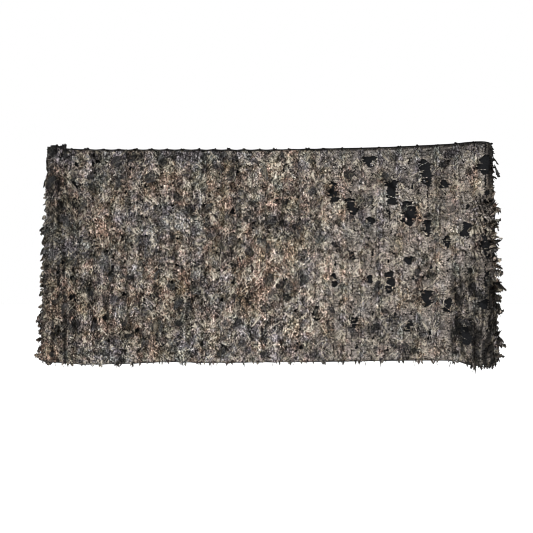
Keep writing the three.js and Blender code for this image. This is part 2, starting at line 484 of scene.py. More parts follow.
def inside(points: Array, outline: Array) -> Array:
    """Tells which points lie inside a closed outline.

    Args:
        points: places in the plane.
        outline: the outline's corners in order.

    Returns:
        True for each point inside.
    """
    result = np.zeros(len(points), bool)
    low, high = outline.min(axis=0), outline.max(axis=0)
    near = np.flatnonzero(((points >= low) & (points <= high)).all(axis=1))
    x, y = points[near, 0], points[near, 1]
    crossings = np.zeros(len(near), int)
    for start, end in zip(outline, np.roll(outline, -1, axis=0)):
        spans = (start[1] > y) != (end[1] > y)
        if spans.any():
            at = start[0] + (y - start[1]) * (end[0] - start[0]) / (end[1] - start[1] + 1e-12)
            crossings += spans & (x < at)
    result[near] = crossings % 2 == 1
    return result


@dataclass(frozen=True)
class KnittedNetFinish:
    """Warp-knitted polyester mesh netting, dyed black and left matt."""

    yarn: str = "#18191b"
    hole: str = "#030304"
    yarn_behind: str = "#2f3033"
    lining: tuple[str, ...] = ("#141311", "#3c3731", "#625a4e")
    lining_mm: float = 45.0
    stitch: str = "#564b3e"
    hole_mm: float = 6.0
    seam_mm: float = 2.0
    stitch_mm: float = 6.5
    raised_mm: float = 0.9
    roughness: float = 0.9

    def material(self, pitch: float) -> Material:
        """Makes the material.

        Args:
            pitch: the distance between two rows' seams, in metres.

        Returns:
            The material.
        """
        # Matt dyed knit: it gives the eye a soft near-black ground with a regular mesh. Its 2 mm holes are
        # drawn 6 mm apart, as coarse as they need to be to show. On the leaf side they look black; from
        # behind, the dull underside of the leaf cloth shows in them, and the seams' thread.
        material, tree = new_material("knitted_polyester_net")
        add = partial(add_node, tree)
        place = add("UVMap", uv_map="cloth")
        behind = add("Attribute", attribute_name="tone").outputs["Fac"]
        mesh = {"Vector": place, "Scale": 1 / (self.hole_mm * MM), "Randomness": 0.3}
        mesh = add("TexVoronoi", mesh, feature="F1")
        yarn = add("MapRange", {"Value": mesh, "From Min": 0.30, "From Max": 0.42})
        cloth = {"Vector": place, "Scale": 1 / (self.lining_mm * MM), "Detail": 5.0, "Roughness": 0.65}
        cloth = add("TexNoise", cloth)
        lining = add("ValToRGB", {"Fac": cloth}, stops=zip((0.36, 0.52, 0.66), self.lining))
        through = add("Mix", {"Factor": behind, "A": linear(self.hole), "B": lining}, data_type="RGBA")
        thread = {"Factor": behind, "A": linear(self.yarn), "B": linear(self.yarn_behind)}
        thread = add("Mix", thread, data_type="RGBA")
        knit = add("Mix", {"Factor": yarn, "A": through, "B": thread}, data_type="RGBA")
        split = add("SeparateXYZ", {"Vector": place})
        from_seam = add("Math", {0: split.outputs["X"], 1: pitch / 2}, operation="SUBTRACT")
        across = add("Math", {0: from_seam, 1: pitch / 2}, operation="PINGPONG")
        line = add("Math", {0: across, 1: self.seam_mm * MM}, operation="LESS_THAN")
        stitch = self.stitch_mm * MM
        beat = add("Math", {0: split.outputs["Y"], 1: stitch}, operation="PINGPONG")
        dash = add("Math", {0: beat, 1: 0.3 * stitch}, operation="GREATER_THAN")
        sewn = add("Math", {0: line, 1: dash}, operation="MULTIPLY")
        colour = add("Mix", {"Factor": sewn, "A": knit, "B": linear(self.stitch)}, data_type="RGBA")
        raised = add("Math", {0: yarn, 1: sewn}, operation="MAXIMUM")
        bump = add("Bump", {"Height": raised, "Distance": self.raised_mm * MM, "Strength": 0.8})
        surface = {"Base Color": colour, "Normal": bump, "Roughness": self.roughness, "IOR": 1.5}
        set_inputs(tree.nodes[SHADER], {**surface, "Specular IOR Level": 0.15})
        return material


@dataclass(frozen=True)
class WovenTapeFinish:
    """Narrow polypropylene edge tape, woven with ribs across it."""

    colour: str = "#090909"
    worn: str = "#191816"
    wear_mm: float = 30.0
    rib_mm: float = 1.6
    rib_depth_mm: float = 0.4
    roughness: float = 0.72

    def material(self) -> Material:
        """Makes the material."""
        # Woven tape: a slightly shinier black line than the net, ribbed across, greyed where it is handled.
        material, tree = new_material("woven_polypropylene_tape")
        add = partial(add_node, tree)
        place = add("UVMap", uv_map="cloth")
        ribs = {"Vector": place, "Scale": 0.5 / (self.rib_mm * MM), "Distortion": 0.4}
        ribs = add("TexWave", ribs, bands_direction="X").outputs["Fac"]
        wear = add("TexNoise", {"Vector": place, "Scale": 1 / (self.wear_mm * MM), "Detail": 4.0})
        tint = add("ValToRGB", {"Fac": wear}, stops=[(0.35, self.colour), (0.75, self.worn)])
        bump = add("Bump", {"Height": ribs, "Distance": self.rib_depth_mm * MM, "Strength": 0.8})
        surface = {"Base Color": tint, "Normal": bump, "Roughness": self.roughness, "IOR": 1.49}
        set_inputs(tree.nodes[SHADER], {**surface, "Specular IOR Level": 0.3})
        return material


class Cloth(NamedTuple):
    """What a layer of the print reads: the place on the cloth, as it is and pushed about so that nothing runs
    straight, how near the seam it is and how much the cloth is stretched.
    """

    add: Callable[..., Node]
    place: Source
    pushed: Source
    seam: Source
    pull: Source


class Outline(NamedTuple):
    """Winding lines: how far one runs, in metres, its pattern's number, its width and how light it is."""

    size: float
    number: float
    width: float
    strength: float


class Fleck(NamedTuple):
    """Flecks: their colour, slope, size in metres, the noise they start at and how much they cover."""

    colour: str
    turn: float
    size: tuple[float, float]
    least: float
    most: float


@dataclass(frozen=True)
class PrintedLeafFinish:
    """Thin satin polyester, printed with bark, litter and twigs, then cut into leaves."""

    bark: tuple[str, ...] = ("#101010", "#3e3d3d", "#787675", "#a09e9d", "#c0beba")
    bark_at: tuple[float, ...] = (0.36, 0.43, 0.50, 0.57, 0.67)
    fibres: tuple[tuple[float, float], ...] = ((0.0085, 0.014), (0.0055, 0.026))
    tints: tuple[str, ...] = ("#959698", "#9a9691", "#a0978b", "#a89684", "#ad9580")
    tints_at: tuple[float, ...] = (0.38, 0.46, 0.53, 0.61, 0.68)
    tint_patch: float = 0.19
    hues: tuple[str, ...] = ("#f0f4e8", "#f4f0f0", "#f7ebf1")
    hue_patch: float = 0.13
    clouds: tuple[tuple[float, float, float], ...] = ((0.15, 0.64, 1.28), (0.042, 0.85, 1.13))
    litter_tones: tuple[str, ...] = ("#303030", "#484848", "#cccccc", "#e4e4e4")
    litter_size: tuple[float, float] = (0.015, 0.021)
    printed_lines: tuple[Outline, ...] = (Outline(0.024, 1.7, 0.045, 0.22), Outline(0.030, 8.9, 0.030, 1.7))
    # The dark winding lines are painted shadow, as under the edges of lifted leaves
    painted_shadow_lines: tuple[Outline, ...] = (Outline(0.038, 5.5, 0.022, 0.06), Outline(0.031, 2.3, 0.011, 0.10))
    flecked: tuple[Fleck, ...] = (
        Fleck("#131314", 0.4, (0.009, 0.019), 0.60, 0.92),
        Fleck("#b3a895", -0.5, (0.006, 0.019), 0.65, 0.7),
        # The broad near-black flecks are painted shadow, like the dark hollows under lifted leaves
        Fleck("#131314", 1.1, (0.030, 0.046), 0.61, 0.9),
        Fleck("#7d7d45", 0.0, (0.013, 0.016), 0.71, 0.6),
        Fleck("#a0765c", 0.2, (0.016, 0.030), 0.71, 0.5),
    )
    stretched: str = "#918982"
    # Size of the painted crease lines on stretched cloth, along the row and across it
    crease: tuple[float, float] = (0.068, 0.0085)
    twig: str = "#b9ae9a"
    twigs_lie: tuple[tuple[float, float], ...] = ((0.7, 0.060), (-0.75, 0.067))
    pushed_by: float = 0.012
    crumple_mm: float = 10.0
    crumple_depth_mm: float = 3.2
    roughness: float = 0.55

    def material(self) -> Material:
        """Makes the material."""
        # Satin polyester print: busy specks of cream, grey, tan and near-black a finger wide, with small
        # bright glints where the cloth creases. Specks under 6 mm are drawn at 6 mm, so that they show. Some
        # of the dark marks are painted shadow: the broad flecks, the winding dark lines, the scraps' rims and
        # the crease lines on stretched cloth.
        material, tree = new_material("printed_satin_polyester")
        add = partial(add_node, tree)
        place = add("UVMap", uv_map="cloth")
        names = ("tone", "seam", "pull")
        tone, seam, pull = (add("Attribute", attribute_name=n).outputs["Fac"] for n in names)
        warp = add("TexNoise", {"Vector": place, "Scale": 1 / 0.022, "Detail": 2.0})
        pushed = {0: warp.outputs["Color"], 1: (self.pushed_by, self.pushed_by, 0.0), 2: place}
        pushed = add("VectorMath", pushed, operation="MULTIPLY_ADD")
        cloth = Cloth(add, place, pushed, seam, pull)
        scraps, tinted = self.litter(cloth)
        result = self.ground(cloth, tinted)
        result = add("VectorMath", {0: result, "Scale": scraps}, operation="SCALE")
        for outline in self.printed_lines:
            result = self.outlines(cloth, result, outline)
        for fleck in self.flecked:
            result = self.flecks(cloth, result, fleck)
        result = self.stretched_with_painted_wrinkles(cloth, result)
        for outline in self.painted_shadow_lines:
            result = self.outlines(cloth, result, outline)
        for turn, spread in self.twigs_lie:
            result = self.twigs(cloth, result, turn, spread)
        # The tone attribute lightens or darkens the print: random tone, with painted shade and light from the
        # rows
        lightness = add("Math", {0: tone, 1: 1.0}, operation="ADD")
        bright = add("HueSaturation", {"Color": result, "Value": lightness})
        grey = add("RGBToBW", {"Color": bright})
        bleached = {"Value": grey, "From Min": 0.12, "From Max": 0.5, "To Min": 1.0, "To Max": 0.75}
        bleached = add("MapRange", bleached)
        soft = {"Value": grey, "From Min": 0.08, "From Max": 0.5, "To Min": 1.20, "To Max": 0.86}
        soft = add("MapRange", soft)
        toned = add("HueSaturation", {"Color": bright, "Saturation": bleached, "Value": soft})
        crumple = {"Vector": place, "Scale": 1 / (self.crumple_mm * MM), "Detail": 3.0}
        crumple = add("TexNoise", {**crumple, "Roughness": 0.6, "Distortion": 0.8})
        bump = add("Bump", {"Height": crumple, "Distance": self.crumple_depth_mm * MM})
        surface = {"Base Color": toned, "Normal": bump, "Roughness": self.roughness, "IOR": 1.55}
        set_inputs(tree.nodes[SHADER], {**surface, "Specular IOR Level": 0.12})
        return material

    def ground(self, cloth: Cloth, tinted: Source) -> Source:
        """Prints the bark: fine upright streaks in broad patches of slate, grey, khaki and tan.

        Args:
            cloth: what the print reads.
            tinted: how much warmer each scrap of litter is.

        Returns:
            The colour.
        """
        add = cloth.add
        fibres = []
        for wide, long in self.fibres:
            streaks = add("Mapping", {"Vector": cloth.pushed, "Scale": (1 / wide, 1 / long, 1.0)})
            fibre = {"Vector": streaks, "Scale": 1.0, "Detail": 4.0, "Roughness": 0.72}
            fibres.append(add("TexNoise", fibre))
        fibre = add("Mix", {"Factor": cloth.seam, "A": fibres[0], "B": fibres[1]}, data_type="FLOAT")
        bark = add("ValToRGB", {"Fac": fibre}, stops=zip(self.bark_at, self.bark))
        patch = {"Vector": cloth.place, "Scale": 1 / self.tint_patch, "Detail": 4.0, "Roughness": 0.8}
        patch = add("TexNoise", patch)
        varied = add("Math", {0: cloth.seam, 1: -0.015, 2: patch}, operation="MULTIPLY_ADD")
        varied = add("Math", {0: varied, 1: tinted}, operation="ADD")
        warmth = add("Attribute", attribute_name="warmth").outputs["Fac"]
        varied = add("Math", {0: varied, 1: warmth}, operation="ADD")
        tint = add("ValToRGB", {"Fac": varied}, stops=zip(self.tints_at, self.tints))
        other = {"Vector": cloth.place, "W": 4.3, "Scale": 1 / self.hue_patch, "Detail": 4.0}
        other = add("TexNoise", {**other, "Roughness": 0.7}, noise_dimensions="4D")
        hue = add("ValToRGB", {"Fac": other}, stops=zip((0.4, 0.5, 0.6), self.hues))
        for colour, strength in ((tint, 3.3), (hue, 1.12)):
            bark = add("VectorMath", {0: bark, 1: colour}, operation="MULTIPLY")
            bark = add("VectorMath", {0: bark, "Scale": strength}, operation="SCALE")
        for size, low, high in self.clouds:
            cloud = add("TexNoise", {"Vector": cloth.place, "Scale": 1 / size, "Detail": 1.0})
            shade = {"Value": cloud, "From Min": 0.36, "From Max": 0.64, "To Min": low, "To Max": high}
            shade = add("MapRange", shade)
            bark = add("VectorMath", {0: bark, "Scale": shade}, operation="SCALE")
        return bark

    def outlines(self, cloth: Cloth, under: Source, outline: Outline) -> Source:
        """Draws thin winding lines: printed outlines of leaves and stalks, and painted shadow lines under
        leaf edges.

        Args:
            cloth: what the print reads.
            under: the colour below.
            outline: how the lines run.

        Returns:
            The colour with outlines.
        """
        add = cloth.add
        noise = {"Vector": cloth.place, "W": outline.number, "Scale": 1 / outline.size, "Detail": 2.0}
        noise = add("TexNoise", {**noise, "Roughness": 0.55}, noise_dimensions="4D")
        off = add("Math", {0: noise, 1: 0.5}, operation="SUBTRACT")
        apart = add("Math", {0: off}, operation="ABSOLUTE")
        line = {"Value": apart, "From Min": 0.3 * outline.width, "From Max": outline.width}
        line = add("MapRange", {**line, "To Min": outline.strength, "To Max": 1.0})
        return add("VectorMath", {0: under, "Scale": line}, operation="SCALE")

    def stretched_with_painted_wrinkles(self, cloth: Cloth, under: Source) -> Source:
        """Shows the printed cloth paler and plainer where it is stretched, with painted shade in fine crease
        lines across the row and painted light between them.

        Args:
            cloth: what the print reads.
            under: the colour below.

        Returns:
            The colour of the stretched cloth.
        """
        add = cloth.add
        half = add("Math", {0: cloth.pull, 1: 0.62}, operation="MULTIPLY")
        plain = add("Mix", {"Factor": half, "A": under, "B": linear(self.stretched)}, data_type="RGBA")
        long, wide = self.crease
        # Painted wrinkle shade: dark crease lines with lighter cloth between them
        across = add("Mapping", {"Vector": cloth.place, "Scale": (1 / long, 1 / wide, 1.0)})
        folded = {"Vector": across, "Scale": 1.0, "Detail": 2.0, "Roughness": 0.55, "Distortion": 0.5}
        folded = add("TexNoise", folded)
        line = {"Value": folded, "From Min": 0.38, "From Max": 0.49, "To Min": 0.10, "To Max": 1.15}
        line = add("MapRange", line)
        shown = add("Mix", {"Factor": cloth.pull, "A": 1.0, "B": line}, data_type="FLOAT")
        return add("VectorMath", {0: plain, "Scale": shown}, operation="SCALE")

    def litter(self, cloth: Cloth) -> tuple[Source, Source]:
        """Prints fallen litter: thumbnail-sized scraps, each lighter or darker, with a thin dark rim of
        painted shadow.

        Args:
            cloth: what the print reads.

        Returns:
            How light each scrap is and how much warmer its colour is.
        """
        add = cloth.add
        wide, long = self.litter_size
        longer = add("Mapping", {"Vector": cloth.pushed, "Scale": (1 / wide, 1 / long, 1.0)})
        settings = {"Vector": longer, "Scale": 1.0}
        cells = add("TexVoronoi", settings, feature="F1")
        number = add("SeparateColor", {"Color": cells.outputs["Color"]}).outputs
        tones = zip((0.0, 0.08, 0.11, 1.0), self.litter_tones)
        shade = add("ValToRGB", {"Fac": number["Red"]}, stops=tones)
        # Painted shadow in a thin dark rim at each scrap's edge, lighter towards its middle
        rim = add("TexVoronoi", settings, feature="DISTANCE_TO_EDGE")
        rim = {"Value": rim, "From Min": 0.03, "From Max": 0.14, "To Min": 0.3, "To Max": 1.9}
        rim = add("MapRange", rim)
        both = add("Math", {0: shade, 1: rim}, operation="MULTIPLY")
        tint = add("MapRange", {"Value": number["Green"], "To Min": -0.035, "To Max": 0.035})
        fainter = add("Math", {0: cloth.seam, 1: 0.6}, operation="MULTIPLY")
        light = add("Mix", {"Factor": fainter, "A": both, "B": 1.05}, data_type="FLOAT")
        return light, tint

    def flecks(self, cloth: Cloth, under: Source, fleck: Fleck) -> Source:
        """Prints flecks of one colour.

        Args:
            cloth: what the print reads.
            under: the colour below.
            fleck: how the flecks are.

        Returns:
            The colour with flecks.
        """
        add = cloth.add
        wide, long = fleck.size
        moved = add("VectorMath", {0: cloth.place, 1: (9 * wide * 37, 5 * long * 41, 0.0)}, operation="ADD")
        turned = add("VectorRotate", {"Vector": moved, "Angle": fleck.turn}, rotation_type="Z_AXIS")
        longer = add("Mapping", {"Vector": turned, "Scale": (1 / wide, 1 / long, 1.0)})
        noise = add("TexNoise", {"Vector": longer, "Scale": 1.0, "Detail": 3.0, "Roughness": 0.55})
        shown = {"Value": noise, "From Min": fleck.least, "From Max": fleck.least + 0.04}
        shown = add("MapRange", {**shown, "To Max": fleck.most})
        return add("Mix", {"Factor": shown, "A": under, "B": linear(fleck.colour)}, data_type="RGBA")

    def twigs(self, cloth: Cloth, under: Source, turn: float, spread: float) -> Source:
        """Prints thin light twigs, broken off short.

        Args:
            cloth: what the print reads.
            under: the colour below.
            turn: the twigs' slope from upright, in radians.
            spread: the distance between twigs, in metres.

        Returns:
            The colour with twigs.
        """
        add = cloth.add
        turned = add("VectorRotate", {"Vector": cloth.pushed, "Angle": turn}, rotation_type="Z_AXIS")
        longer = add("Mapping", {"Vector": turned, "Scale": (1 / (0.45 * spread), 1 / (2.4 * spread), 1.0)})
        lines = add("TexVoronoi", {"Vector": longer, "Scale": 1.0}, feature="DISTANCE_TO_EDGE")
        thin = {"Value": lines, "From Min": 0.02, "From Max": 0.05, "To Min": 0.65, "To Max": 0.0}
        thin = add("MapRange", thin)
        breaks = add("TexNoise", {"Vector": cloth.pushed, "Scale": 0.8 / spread, "Detail": 1.0})
        kept = add("MapRange", {"Value": breaks, "From Min": 0.53, "From Max": 0.58})
        shown = add("Math", {0: thin, 1: kept}, operation="MULTIPLY")
        return add("Mix", {"Factor": shown, "A": under, "B": linear(self.twig)}, data_type="RGBA")


def closed_sheet(drape: Drape, down: Array, thickness: float, ripple: float = 0.0) -> MeshPile:
    """Makes a closed sheet that runs along the whole cover.

    Args:
        drape: how the cover hangs.
        down: the levels of its points, as shares of the height.
        thickness: the sheet's thickness.
        ripple: how far it waves in and out.

    Returns:
        The sheet, its tone 0 on the leaf side and 1 behind.
    """
    row, down = np.meshgrid(drape.spaced_rows(), down)
    point, _, out = drape.frame(row, down)
    point = point + out * (ripple * SoftNoise(71).at(row * 2.3, down * 40))[..., None]
    place = np.stack([row * drape.pitch, down * drape.cut_height], axis=-1).reshape(-1, 2)
    levels, columns = point.shape[:2]
    front = (point + out * thickness / 2).reshape(-1, 3)
    back = (point - out * thickness / 2).reshape(-1, 3)
    count = len(front)
    faces = grid_faces(levels, columns)
    number = np.arange(count).reshape(levels, columns)
    rim = np.concatenate([number[0], number[1:, -1], number[-1, -2::-1], number[-2:0:-1, 0]])
    ahead = np.roll(rim, -1)
    sides = np.stack([rim, ahead, ahead + count, rim + count], axis=1)
    faces = np.concatenate([faces, faces[:, ::-1] + count, sides])
    size = place.max(axis=0) - place.min(axis=0)
    flat = (place - place.min(axis=0)) / size * [0.96, 0.47] + [0.02, 0.01]
    charts = np.concatenate([flat, flat + [0.0, 0.5]])
    pile = MeshPile()
    shades = (np.repeat([0.0, 1.0], count), 0.0, 0.0, 0.0)
    pile.add(np.concatenate([front, back]), faces, np.concatenate([place, place]), charts, *shades)
    return pile


@dataclass
class Net:
    """The dark net that carries everything."""

    drape: Drape
    thickness: float = 2 * MM
    levels: int = 64
    tape_height: float = 9 * MM

    def build(self, material: Material) -> Object:
        """Makes the net as one closed sheet.

        Args:
            material: the net's finish.

        Returns:
            The net.
        """
        share = self.tape_height / self.drape.cut_height
        pile = closed_sheet(self.drape, np.linspace(share, 1 - share, self.levels), self.thickness)
        piece = pile.build("net_mesh", material)
        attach(piece, "root")
        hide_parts("net")
        return piece


@dataclass
class Binding:
    """Tape along one edge of the net."""

    drape: Drape
    name: str
    upper: float
    lower: float
    thickness: float = 2.4 * MM
    ripple: float = 0.8 * MM

    def build(self, material: Material) -> Object:
        """Makes the tape.

        Args:
            material: the tape's finish.

        Returns:
            The tape.
        """
        pile = closed_sheet(self.drape, np.linspace(self.upper, self.lower, 4), self.thickness, self.ripple)
        piece = pile.build(f"{self.name}_tape", material)
        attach(piece, "root")
        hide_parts(self.name)
        return piece


@dataclass(frozen=True)
class LeafShape:
    """The outline of a cut leaf: how wide it is along its length, with teeth."""

    steps: int
    notch: float
    sweep: float

    def stations(self) -> tuple[Array, Array, Array]:
        """Lays out the leaf.

        Returns:
            Shares of the length on the midrib, the same at the edge, and half widths as shares of the widest.
        """
        t = np.linspace(0, 1, self.steps + 1)
        width = np.sin(np.pi * (0.1 + 0.9 * t)) ** 0.7
        width[-1] = 0.03
        number = np.arange(self.steps + 1)
        is_tooth = (number % 2 == 1) & (number < self.steps)
        is_notch = (number % 2 == 0) & (number > 0) & (number < self.steps)
        width = np.where(is_notch, width * (1 - self.notch), width)
        return t, t + self.sweep * is_tooth, width


class LeafKind(Enum):
    """The outlines that are cut from the cloth."""

    OAK = LeafShape(steps=8, notch=0.5, sweep=0.07)
    ELM = LeafShape(steps=10, notch=0.42, sweep=0.07)
    SCRAP = LeafShape(steps=6, notch=0.4, sweep=0.08)
    THREAD = LeafShape(steps=7, notch=0.0, sweep=0.0)


@dataclass
class LeafBatch:
    """Many leaves of one kind on one row, with a value for every leaf or one for all."""

    kind: LeafKind
    base_a: Array
    base_b: Array
    length: Array
    width: Array | float
    turn: Array
    lift: Array
    curl: Array
    cup: Array | float
    droop: Array | float
    start: Array
    tone: Array
    dim: Array | float = 0.94

    def __post_init__(self) -> None:
        """Makes every number fit a grid of points on each leaf."""
        count = len(self.base_b)
        for name, value in vars(self).items():
            if name != "kind":
                setattr(self, name, np.broadcast_to(value, count)[:, None, None])

    @property
    def across(self) -> Array:
        """Where the leaf's lines of points lie between its left edge, -1, and its right edge."""
        return np.linspace(-1, 1, 5 if self.kind in (LeafKind.OAK, LeafKind.ELM) else 3)

    def flat(self) -> tuple[Array, Array, Array, Array]:
        """Lays the leaves out in the uncut cloth.

        Returns:
            Places across the row and down it, lengths from the base, and widths from the midrib.
        """
        middle, edge, half = self.kind.value.stations()
        outer = np.abs(self.across)[None, :]
        p = self.length * (middle[:, None] * (1 - outer) + edge[:, None] * outer)
        q = self.width / 2 * (half[:, None] * self.across)
        return *self.turned(p, q), p, q

    def turned(self, p: Array, q: Array) -> tuple[Array, Array]:
        """Turns lengths from the leaves' bases and widths from their midribs into places across and down."""
        cos, sin = np.cos(self.turn), np.sin(self.turn)
        return self.base_a + p * cos - q * sin, self.base_b + p * sin + q * cos

    def outlines(self) -> list[Array]:
        """The closed outline of each leaf in the uncut cloth."""
        a, b, _, _ = self.flat()
        left = np.stack([a[:, :, 0], b[:, :, 0]], axis=-1)
        right = np.stack([a[:, ::-1, -1], b[:, ::-1, -1]], axis=-1)
        return list(np.concatenate([left, right], axis=1))

    def bent(self) -> tuple[Array, Array, Array]:
        """Lifts, curls and cups the leaves.

        Returns:
            Places across the row, down it and off it.
        """
        _, _, p, q = self.flat()
        share, half = p / self.length, self.width / 2
        angle = self.lift + self.curl * share / 2
        rise = p * np.sin(angle) + self.cup * q * q / half
        phase = 40.0 * self.base_b + 25.0 * self.base_a
        rise = rise + 0.05 * half * np.sin(9.0 * share + phase + 2.0 * q / half)
        a, b = self.turned(p * np.cos(angle), q)
        return a, b + self.droop * share * share * self.length, self.start + rise


@dataclass
class Openings:
    """Places between the seams where the cut cloth has fallen open, most of them two holes high."""

    drape: Drape
    seed: int = 77
    first_border: int = 4
    clear: float = 0.2
    corners: int = 24
    half_size: tuple[float, float] = (0.044, 0.034)

    def __post_init__(self) -> None:
        """Cuts the holes, each as an outline on the uncut cloth of the whole cover."""
        chance = np.random.default_rng(self.seed)
        drape = self.drape
        self.centres: list[Array] = []
        self.outlines: list[Array] = []
        for border in range(self.first_border, drape.rows - 1):
            taut = drape.tautness(border)
            count = 1 + int(chance.random() < 0.1 + 0.8 * taut) + int(chance.random() < 0.5 * taut)
            shares = (np.arange(count) + 0.38 * border % 1 + chance.uniform(-0.15, 0.15, count)) / count % 1
            for spot in 0.07 + shares * (drape.cut_height - self.clear):
                size = (0.5 + 0.50 * taut) * chance.uniform(0.75, 1.12)
                across = border * drape.pitch + chance.uniform(-0.008, 0.008)
                for level in range(chance.choice([1, 2, 2, 3])):
                    middle = (across + chance.uniform(-0.014, 0.014), spot + level * 0.050 * size)
                    self.centres.append(np.array(middle))
                    self.outlines.append(middle + size * chance.uniform(0.75, 1.15) * self.lobe(chance))

    def lobe(self, chance: np.random.Generator) -> Array:
        """Draws one hole about its middle.

        Args:
            chance: the source of its unevenness.

        Returns:
            The corners of its outline.
        """
        turn = np.linspace(0, 2 * np.pi, self.corners, endpoint=False)
        phase = chance.uniform(0, 2 * np.pi)
        pulled = np.where(np.arange(self.corners) % 2 == 0, chance.uniform(0.85, 1.35, self.corners), 0.68)
        reach = 1 + 0.20 * np.sin(3 * turn + phase)
        across = reach * np.cos(turn) * (1 + (pulled - 1) * np.abs(np.cos(turn)))
        wide, high = self.half_size
        return np.stack([wide * across, high * reach * np.sin(turn)], axis=1)

    def on_row(self, index: int) -> tuple[Array, list[Array]]:
        """Picks the holes that reach a row.

        Args:
            index: the row's number from 0.

        Returns:
            The holes' middles and outlines, measured from the row's seam.
        """
        seam = np.array([(index + 0.5) * self.drape.pitch, 0.0])
        near = [abs(centre[0] - seam[0]) < self.drape.pitch for centre in self.centres]
        centres = np.array([c - seam for c, is_near in zip(self.centres, near) if is_near]).reshape(-1, 2)
        return centres, [o - seam for o, is_near in zip(self.outlines, near) if is_near]


def outward(side: Array | int, degrees: Array) -> Array:
    """Turns slopes away from the seam, on the right for a side of 1 and on the left for -1, into angles."""
    aim = np.radians(degrees)
    return np.where(side > 0, aim, math.pi - aim)


